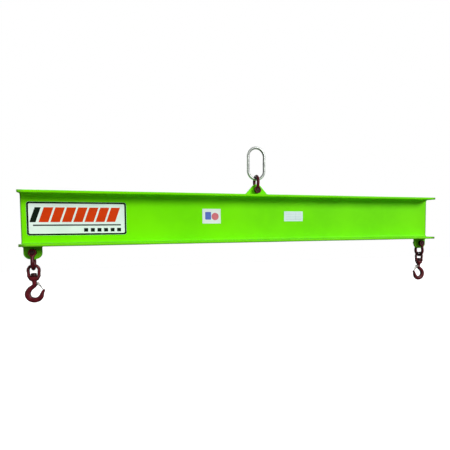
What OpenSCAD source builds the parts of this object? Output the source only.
// Spreader beam: a wide-flange beam hung from a master link and one shackle,
// with a shackle and a latched swivel hook at each end.
// The origin is the seat of the crane hook, at the inner top of the master link.
// +X runs along the beam, -Y is its front, +Z is up, and all sizes are millimetres.

/* [Beam] */
// Length of the wide-flange beam
beam_len = 1905; // [1890:5:2400]
// Depth of the beam over both flanges
beam_h = 210; // [200:1:260]
// Width of each flange
flange_w = 134; // [120:1:180]
// Thickness of each flange
flange_t = 10.2; // [8:0.1:14]
// Thickness of the web
web_t = 6.4; // [5:0.1:10]
// Radius of the fillet between web and flange
root_r = 10; // [6:0.5:14]

/* [Lugs] */
// Distance between the pins of the two end lugs
hook_spread = 1829; // [1500:1:1829]
// Thickness of the lug plates
lug_t = 12.7; // [10:0.1:14]
// Width of the top lug where it meets the flange
top_lug_w = 110; // [90:1:140]
// Radius of the top lug round its pin
top_lug_r = 26; // [24:0.5:28]
// Height of the top pin above the flange
top_pin_h = 22; // [21:0.5:26]
// Width of an end lug
end_lug_w = 65; // [60:1:80]
// Depth of an end lug below the flange
end_lug_d = 50; // [46:0.5:52]
// Radius of an end lug's lower corners
end_lug_r = 24; // [16:0.5:26]
// Depth of an end pin below the flange
end_pin_d = 24; // [23:0.5:27]
// Leg of the fillet welds round the lugs
weld_leg = 5; // [3:0.5:5.5]

/* [Master link] */
// Thickness of the link's wire
link_d = 12.7; // [11:0.1:13]
// Width inside the link
link_w = 63.5; // [60:0.5:80]
// Length inside the link
link_l = 127; // [110:1:150]

/* [Shackles] */
// Thickness of the bow's wire
bow_d = 13.5; // [13:0.1:14]
// Width inside the bow at its widest
bow_w = 36.5; // [35:0.1:38]
// Length inside the bow, from pin to crown
bow_l = 47.8; // [46:0.1:52]
// Gap between the two ears
ear_gap = 20.6; // [20:0.1:22]
// Diameter of an ear
ear_d = 30; // [28:0.5:31]
// Diameter of the screw pin
pin_d = 16; // [14:0.5:16]

/* [Swivel hooks] */
// Width over the swivel eye
eye_w = 49; // [48:0.5:50]
// Thickness of the eye's wire
eye_d = 11; // [10.5:0.1:11.2]
// Length of the swivel eye over all
eye_l = 63.5; // [62:0.5:67]
// Diameter of the hook's shank in the swivel eye
shank_d = 13; // [11:0.5:13]
// Diameter of the swivel nut
nut_d = 22; // [20:0.5:22]
// Radius of the hook's bowl
bowl_r = 18.5; // [18:0.5:19]
// Thickness of the hook at its back
hook_back = 20.5; // [19.5:0.5:21]
// Depth of the hook's body, front to back
hook_t = 17; // [15:0.5:18]

/* [Labels] */
// Thickness of the labels and the rating plate
label_t = 0.6; // [0.4:0.1:1]
// Length of the big label
label_w = 365; // [300:1:400]
// Height of the big label
label_h = 130; // [100:1:140]

/* [Hidden] */

$fn = 64;
touch = 0.3;      // gap between curved faces of two pieces that bear on each other
run = 0.08;       // radial running clearance of a pin or shank in its hole
snug = 0.03;      // radial clearance of a pin in a piece that it turns with

// Heights, from the crane hook's seat down
bow_reach = pin_d/2 + bow_l;              // pin centre to the crown's inner face
top_pin_z = -link_l + touch - bow_reach;
flange_z = top_pin_z - top_pin_h;         // upper face of the beam
beam_z = flange_z - beam_h/2;             // middle of the beam
base_z = flange_z - beam_h;               // lower face of the beam
end_pin_z = base_z - end_pin_d;
eye_top_z = end_pin_z - bow_reach + touch; // inner top of a swivel eye

// Shackle bow
bow_r = (bow_w + bow_d)/2;                // centre line of the crown
crown_z = bow_reach - bow_w/2;            // crown's centre above the pin
leg_y = (ear_gap + bow_d)/2;              // middle of an ear
leg_lean = asin(bow_r/norm([crown_z, leg_y])) - atan2(leg_y, crown_z);
leg_len = (crown_z - bow_r*sin(leg_lean))/cos(leg_lean);
leg_extra = 0.6;                          // a leg is a little thicker than the crown
leg_lap = 2;                              // and runs this far into it
pin_front = ear_gap/2 + bow_d + 1;
collar_t = 4;
collar_d = 22;
pin_head_d = 16;
pin_head_t = 8;
pin_head_hole = 7;

// Swivel eye and nut, measured down from the eye's inner top
eye_r = (eye_w - eye_d)/2;
boss_h = 15;
boss_bottom = eye_d - eye_l;
boss_top = boss_bottom + boss_h;
boss_d = 27;
boss_wide = 47;
boss_t = 23;
nut_gap = 0.2;
nut_h = 13;
shank_top = boss_top + nut_gap + nut_h + 1;
nut_pin_d = 3;
nut_pin_z = boss_top + nut_gap + 7.5;
hook_collar_d = 19;

// Hook, measured from the middle of its bowl's height on the swivel axis
bowl_x = 2.6;
bowl_z = -(eye_l - eye_d) - 47.8;         // below the eye's inner top
neck_d = 16.5;
neck_t = 15;
// Stations down the neck to the back: x, z, width in the hook's plane, depth
neck = [
    [0.5, 46.5, neck_d, neck_t],
    [1.6, 38, neck_d, neck_t],
    [1.6, 29.5, neck_d, neck_t],
    [-7, 21.3, 17, 15.5],
    [-16, 13.8, 18.5, 16.5]];
// Stations round the bowl: angle, centre line's radius, width, depth
bowl = [
    [180, bowl_r + hook_back*0.34, hook_back, hook_t],
    [204, bowl_r + hook_back*0.43, hook_back*1.05, hook_t],
    [228, bowl_r + hook_back*0.50, hook_back*1.01, hook_t],
    [252, bowl_r + hook_back*0.49, hook_back, hook_t],
    [276, bowl_r + hook_back*0.48, hook_back*0.95, hook_t],
    [300, bowl_r + hook_back*0.43, hook_back*0.92, hook_t*0.96],
    [324, bowl_r + hook_back*0.35, hook_back*0.83, hook_t*0.90],
    [345, bowl_r + hook_back*0.31, hook_back*0.68, hook_t*0.80],
    [360, bowl_r + hook_back*0.37, hook_back*0.60, hook_t*0.70],
    [370, bowl_r + hook_back*0.54, hook_back*0.49, hook_t*0.62],
    [375, bowl_r + hook_back*0.64, hook_back*0.41, hook_t*0.56],
    [378, bowl_r + hook_back*0.70, hook_back*0.31, hook_t*0.44],
    [379.5, bowl_r + hook_back*0.72, hook_back*0.16, hook_t*0.26]];
stations = concat(neck, [for (b = bowl)
    [bowl_x + b[1]*cos(b[0]), b[1]*sin(b[0]), b[2], b[3]]]);
steps = 4;                                // rings between two stations
sides = 20;                               // corners of a ring
square_off = 2.5;                         // 2 is an ellipse, more is squarer

// Latch, about its pin; u runs along the latch and v out of the hook
latch_x = 12.8;
latch_z = 35;
latch_fall = 61;                          // angle of the latch below level
latch_pin_d = 3;
latch_lug_d = 8;
latch_lug_t = 6;
latch_w = 18;
latch_tip_w = 9;
latch_l = 30;
latch_ear_d = 8.5;
sheet_t = 1.4;
latch_v = 2.75;                           // underside of the latch's web
wire_d = 1;
coil_r = 2.15;
coil_turns = 2;                           // whole turns, besides the part turn between the legs
coil_in = 3.65;                           // first turn from the middle
coil_pitch = 1.05;
leg_in = 8;
leg_out = 9;

// Places along the beam
square_decal_x = -209.5;
square_decal_w = 82;
square_decal_h = 64;
rating_plate_x = 183.5;
rating_plate_w = 96;
rating_plate_h = 46;
small_label_z = 10;
big_label_x = -750;

// ---------- Helpers ----------

function catmull(a, b, c, d, t) =
    0.5*(2*b + (c - a)*t + (2*a - 5*b + 4*c - d)*t*t + (3*b - a - 3*c + d)*t*t*t);

// Point i of a list, held at its ends
function held(list, i) = list[max(0, min(len(list) - 1, i))];

// A smooth run of stations through the given ones
function smooth(list, n) = concat(
    [for (i = [0:len(list) - 2]) for (k = [0:n - 1])
        catmull(held(list, i - 1), list[i], list[i + 1], held(list, i + 2), k/n)],
    [list[len(list) - 1]]);

function signed_power(value, power) = sign(value)*pow(abs(value), power);

// Corners of one squared-off oval ring of the hook, across its centre line
function oval(s, direction) = [for (k = [0:sides - 1])
    let (a = 360*k/sides,
        across = s[2]/2*signed_power(cos(a), 2/square_off),
        deep = s[3]/2*signed_power(sin(a), 2/square_off))
    [s[0] - direction[1]*across, deep, s[1] + direction[0]*across]];

function unit(v) = v/norm(v);

// Closed skin over rings that all have n corners
module skin(rings, n) {
    count = len(rings);
    polyhedron(
        points = [for (ring = rings) each ring],
        faces = concat(
            [[for (k = [n - 1:-1:0]) k]],
            [for (i = [0:count - 2]) for (k = [0:n - 1])
                [i*n + k, i*n + (k + 1)%n, (i + 1)*n + (k + 1)%n, (i + 1)*n + k]],
            [[for (k = [0:n - 1]) (count - 1)*n + k]]));
}

// Ring of a round wire at point p, square to direction d
function wire_ring(p, d, r, n) =
    let (side = unit(cross(d, abs(d[1]) > 0.9 ? [1, 0, 0] : [0, 1, 0])),
        up = cross(side, d))
    [for (k = [0:n - 1]) p + r*(side*cos(360*k/n) + up*sin(360*k/n))];

// A half or larger ring of round wire in the YZ plane, open end down
module yz_ring(radius, wire, from, sweep) {
    rotate([90, 0, 90])
        rotate(from)
            rotate_extrude(angle = sweep)
                translate([radius, 0])
                    circle(d = wire);
}

// The same in the XZ plane
module xz_ring(radius, wire, from, sweep) {
    rotate([90, 0, 0])
        rotate(from)
            rotate_extrude(angle = sweep)
                translate([radius, 0])
                    circle(d = wire);
}

module along_y(d, from, to) {
    translate([0, from, 0])
        rotate([-90, 0, 0])
            cylinder(d = d, h = to - from);
}

module along_x(d, length) {
    rotate([0, 90, 0])
        cylinder(d = d, h = length, center = true);
}

// A flat plate in the XZ plane, centred on y = 0
module xz_plate(thickness) {
    rotate([90, 0, 0])
        linear_extrude(thickness, center = true)
            children();
}

module rounded_square(w, h, r) {
    square([w - 2*r, h], center = true);
    square([w, h - 2*r], center = true);
    for (x = [-1, 1])
        for (y = [-1, 1])
            translate([x*(w/2 - r), y*(h/2 - r)])
                circle(r = r);
}

// ---------- Beam ----------

module root_fillet() {
    translate([web_t/2, beam_h/2 - flange_t - root_r])
        difference() {
            square(root_r);
            translate([root_r, 0])
                circle(r = root_r);
        }
}

module beam_section() {
    square([web_t, beam_h], center = true);
    for (top = [0, 1])
        mirror([0, top]) {
            translate([-flange_w/2, beam_h/2 - flange_t])
                square([flange_w, flange_t]);
            for (side = [0, 1])
                mirror([side, 0])
                    root_fillet();
        }
}

module wide_flange_beam() {
    color("yellowgreen")
        translate([0, 0, beam_z])
            rotate([90, 0, 90])
                linear_extrude(beam_len, center = true)
                    beam_section();
}

// ---------- Lugs ----------

module pin_hole(length) {
    rotate([90, 0, 0])
        cylinder(d = pin_d + 2*run, h = length, center = true);
}

module top_lug() {
    half = top_lug_w/2;
    reach = norm([half, top_pin_h]);
    lean = acos(top_lug_r/reach) - atan2(top_pin_h, half);
    corner = top_lug_r*[cos(lean), sin(lean)];
    color("yellowgreen")
        translate([0, 0, top_pin_z])
            difference() {
                xz_plate(lug_t)
                    intersection() {
                        union() {
                            circle(r = top_lug_r);
                            polygon([[-half, -top_pin_h], [half, -top_pin_h],
                                corner, [-corner[0], corner[1]]]);
                        }
                        translate([-half, -top_pin_h])
                            square([top_lug_w, top_pin_h + top_lug_r]);
                    }
                pin_hole(lug_t + 2);
            }
}

module end_lug() {
    straight = end_lug_d - end_lug_r;
    color("yellowgreen")
        difference() {
            xz_plate(lug_t) {
                translate([-end_lug_w/2, -straight])
                    square([end_lug_w, straight]);
                translate([end_lug_r - end_lug_w/2, -end_lug_d])
                    square([end_lug_w - 2*end_lug_r, end_lug_d]);
                for (side = [-1, 1])
                    translate([side*(end_lug_w/2 - end_lug_r), -straight])
                        circle(r = end_lug_r);
            }
            translate([0, 0, -end_pin_d])
                pin_hole(lug_t + 2);
        }
}

// One straight bead along X, against a plate whose face is at y = 0
module bead(length) {
    rotate([90, 0, 90])
        linear_extrude(length, center = true)
            polygon([[0, 0], [weld_leg, 0], [0, weld_leg]]);
}

// Fillet weld round a plate that stands on z = 0 and is w long
module weld(w) {
    color("olivedrab") {
        for (side = [0, 1])
            mirror([0, side, 0])
                translate([0, lug_t/2, 0])
                    bead(w + weld_leg);
        for (end = [0, 1])
            mirror([end, 0, 0])
                translate([w/2, 0, 0])
                    rotate(-90)
                        bead(lug_t + weld_leg);
    }
}

module top_lug_weld() {
    translate([0, 0, flange_z])
        weld(top_lug_w);
}

module end_lug_weld() {
    mirror([0, 0, 1])
        weld(end_lug_w);
}

// ---------- Labels ----------

module label(x, z, w, h, r, tint) {
    color(tint)
        translate([x, -(web_t + label_t)/2, beam_z + z])
            xz_plate(label_t)
                rounded_square(w, h, r);
}

// ---------- Master link ----------

module master_link() {
    link_r = (link_w + link_d)/2;
    straight = link_l - link_w;
    color("silver")
        translate([0, 0, -link_w/2]) {
            xz_ring(link_r, link_d, 0, 180);
            translate([0, 0, -straight])
                xz_ring(link_r, link_d, 180, 180);
            for (side = [-1, 1])
                translate([side*link_r, 0, -straight])
                    cylinder(d = link_d, h = straight);
        }
}

// ---------- Shackles: the pin is at the origin and the crown is up ----------

module shackle_bow() {
    color("maroon")
        difference() {
            union() {
                translate([0, 0, crown_z])
                    yz_ring(bow_r, bow_d, -leg_lean, 180 + 2*leg_lean);
                for (side = [-1, 1]) {
                    translate([0, side*leg_y, 0])
                        rotate([-side*leg_lean, 0, 0])
                            cylinder(d = bow_d + leg_extra, h = leg_len + leg_lap);
                    translate([0, side*leg_y, 0])
                        along_y(ear_d, -bow_d/2, bow_d/2);
                }
            }
            rotate([90, 0, 0])
                cylinder(d = pin_d + 2*snug, h = 2*(ear_gap + bow_d), center = true);
            along_y(collar_d + 2, ear_gap/2 + bow_d, ear_gap + 2*bow_d);
        }
}

module shackle_pin() {
    back = ear_gap/2 + bow_d + touch;
    head_y = back + collar_t + pin_head_d/2 - 1;
    color("firebrick") {
        along_y(pin_d, -pin_front, back);
        along_y(collar_d, back, back + collar_t);
        difference() {
            union() {
                translate([0, head_y, 0])
                    along_x(pin_head_d, pin_head_t);
                translate([-pin_head_t/2, back + collar_t, -pin_head_d/2 + 2])
                    cube([pin_head_t, pin_head_d/2, pin_head_d - 4]);
            }
            translate([0, head_y, 0])
                along_x(pin_head_hole, pin_head_t + 2);
        }
    }
}

module at_top_pin() {
    translate([0, 0, top_pin_z])
        children();
}

// ---------- Swivel hooks: the eye's inner top is at the origin ----------

module swivel_eye() {
    straight = 1 - boss_top - (eye_w/2 - eye_d);
    color("maroon")
        difference() {
            union() {
                translate([0, 0, -(eye_w/2 - eye_d)]) {
                    xz_ring(eye_r, eye_d, 0, 180);
                    for (side = [-1, 1])
                        translate([side*eye_r, 0, -straight])
                            cylinder(d = eye_d, h = straight);
                }
                translate([0, 0, boss_bottom])
                    intersection() {
                        cylinder(h = boss_h, d1 = boss_d, d2 = boss_wide);
                        translate([-boss_wide, -boss_t/2, -1])
                            cube([2*boss_wide, boss_t, boss_h + 2]);
                    }
            }
            translate([0, 0, boss_bottom - 1])
                cylinder(d = shank_d + 2*run, h = boss_h + 2);
        }
}

module swivel_nut() {
    color("maroon")
        translate([0, 0, boss_top + nut_gap])
            difference() {
                union() {
                    cylinder(d = nut_d, h = nut_h - 3);
                    translate([0, 0, nut_h - 3])
                        cylinder(h = 3, d1 = nut_d, d2 = nut_d - 5);
                }
                translate([0, 0, -1])
                    cylinder(d = shank_d + 2*snug, h = nut_h + 2);
                translate([0, 0, nut_pin_z - boss_top - nut_gap])
                    along_x(nut_pin_d + 2*snug, nut_d + 2);
            }
}

module nut_pin() {
    color("dimgray")
        translate([0, 0, nut_pin_z])
            along_x(nut_pin_d, nut_d + 0.6);
}

module hook() {
    body = smooth(stations, steps);
    rings = [for (i = [0:len(body) - 1])
        let (d = unit([held(body, i + 1)[0] - held(body, i - 1)[0],
            held(body, i + 1)[1] - held(body, i - 1)[1]]))
        oval(body[i], d)];
    shank_base = bowl_z + neck[0][1] - 4;
    color("maroon")
        difference() {
            union() {
                translate([0, 0, bowl_z])
                    skin(rings, sides);
                translate([0, 0, shank_base])
                    cylinder(d = shank_d, h = shank_top - shank_base);
                translate([0, 0, boss_bottom - nut_gap - 4])
                    cylinder(d = hook_collar_d, h = 4);
                translate([latch_x, 0, bowl_z + latch_z])
                    along_y(latch_lug_d, -latch_lug_t/2, latch_lug_t/2);
                translate([0, -latch_lug_t/2, bowl_z + latch_z - latch_lug_d/2])
                    cube([latch_x, latch_lug_t, latch_lug_d]);
            }
            translate([latch_x, 0, bowl_z + latch_z])
                along_y(latch_pin_d + 2*run, -latch_lug_t, latch_lug_t);
            translate([0, 0, nut_pin_z])
                along_x(nut_pin_d + 2*snug, shank_d + 2);
        }
}

// Places children so that +X runs along the closed latch and +Z out of the hook
module at_latch() {
    translate([latch_x, 0, bowl_z + latch_z])
        rotate([0, latch_fall, 0])
            children();
}

module latch() {
    ear_y = latch_w/2 - sheet_t;
    color("silver")
        at_latch()
            difference() {
                union() {
                    translate([latch_ear_d/2 - 1, 0, latch_v])
                        linear_extrude(sheet_t)
                            polygon([[0, -latch_w/2], [latch_l*0.4, -latch_w/2],
                                [latch_l - 4, -latch_tip_w/2], [latch_l - 4, latch_tip_w/2],
                                [latch_l*0.4, latch_w/2], [0, latch_w/2]]);
                    for (side = [0, 1])
                        mirror([0, side, 0]) {
                            along_y(latch_ear_d, ear_y, latch_w/2);
                            translate([0, latch_w/2, 0])
                                rotate([90, 0, 0])
                                    linear_extrude(sheet_t)
                                        polygon([[0, -latch_ear_d/2 + 0.6], [latch_l*0.5, latch_v - 1],
                                            [latch_l*0.5, latch_v + sheet_t], [0, latch_v + sheet_t]]);
                        }
                }
                along_y(latch_pin_d + 2*snug, -latch_w, latch_w);
            }
}

module latch_pin() {
    color("dimgray")
        translate([latch_x, 0, bowl_z + latch_z]) {
            along_y(latch_pin_d, -latch_w/2 - 0.2, latch_w/2 + 0.2);
            for (side = [0, 1])
                mirror([0, side, 0])
                    along_y(latch_pin_d + 2, latch_w/2 + 0.05, latch_w/2 + 1.2);
        }
}

// One coil on the latch pin, its inner leg down the neck and its outer leg under the latch
module spring_coil() {
    corners = 8;
    count = 40;
    first = 180 + latch_fall;             // where the inner leg leaves, straight down
    turn = first - 90 + 360*coil_turns;
    down = [-sin(first), cos(first)];
    coil = [for (i = [0:count])
        let (a = first - turn*i/count)
        [coil_r*cos(a), coil_in + coil_pitch*turn/360*i/count, coil_r*sin(a)]];
    inner = coil[0] + leg_in*[down[0], 0, down[1]];
    outer = coil[count] + leg_out*[1, 0, 0];
    path = concat([inner], coil, [outer]);
    rings = [for (i = [0:len(path) - 1])
        wire_ring(path[i], unit(held(path, i + 1) - held(path, i - 1)), wire_d/2, corners)];
    color("gray")
        skin(rings, corners);
}

module latch_spring() {
    at_latch()
        for (side = [0, 1])
            mirror([0, side, 0])
                spring_coil();
}

// ---------- The two ends: side is -1 on the left and 1 on the right ----------

module at_end(side, z) {
    translate([side*hook_spread/2, 0, z])
        mirror([side > 0 ? 1 : 0, 0, 0])
            children();
}

module hanging_shackle() {
    mirror([0, 0, 1])
        children();
}

wide_flange_beam();
top_lug();
at_end(-1, base_z) end_lug();  // left_end_lug
at_end(1, base_z) end_lug();  // right_end_lug
top_lug_weld();
at_end(-1, base_z) end_lug_weld();  // left_lug_weld
at_end(1, base_z) end_lug_weld();  // right_lug_weld
label(big_label_x, 0, label_w, label_h, 6, "whitesmoke");  // big_label
label(square_decal_x, small_label_z, square_decal_w, square_decal_h, 2, "white");  // square_decal
label(rating_plate_x, small_label_z, rating_plate_w, rating_plate_h, 2, "lightcyan");  // rating_plate
master_link();
at_top_pin() shackle_bow();  // top_shackle_bow
at_top_pin() shackle_pin();  // top_shackle_pin
at_end(-1, end_pin_z) hanging_shackle() shackle_bow();  // left_shackle_bow
at_end(-1, end_pin_z) hanging_shackle() shackle_pin();  // left_shackle_pin
at_end(-1, eye_top_z) swivel_eye();  // left_swivel_eye
at_end(-1, eye_top_z) hook();  // left_hook
at_end(-1, eye_top_z) swivel_nut();  // left_swivel_nut
at_end(-1, eye_top_z) nut_pin();  // left_nut_pin
at_end(-1, eye_top_z) latch();  // left_latch
at_end(-1, eye_top_z) latch_pin();  // left_latch_pin
at_end(-1, eye_top_z) latch_spring();  // left_latch_spring
at_end(1, end_pin_z) hanging_shackle() shackle_bow();  // right_shackle_bow
at_end(1, end_pin_z) hanging_shackle() shackle_pin();  // right_shackle_pin
at_end(1, eye_top_z) swivel_eye();  // right_swivel_eye
at_end(1, eye_top_z) hook();  // right_hook
at_end(1, eye_top_z) swivel_nut();  // right_swivel_nut
at_end(1, eye_top_z) nut_pin();  // right_nut_pin
at_end(1, eye_top_z) latch();  // right_latch
at_end(1, eye_top_z) latch_pin();  // right_latch_pin
at_end(1, eye_top_z) latch_spring();  // right_latch_spring
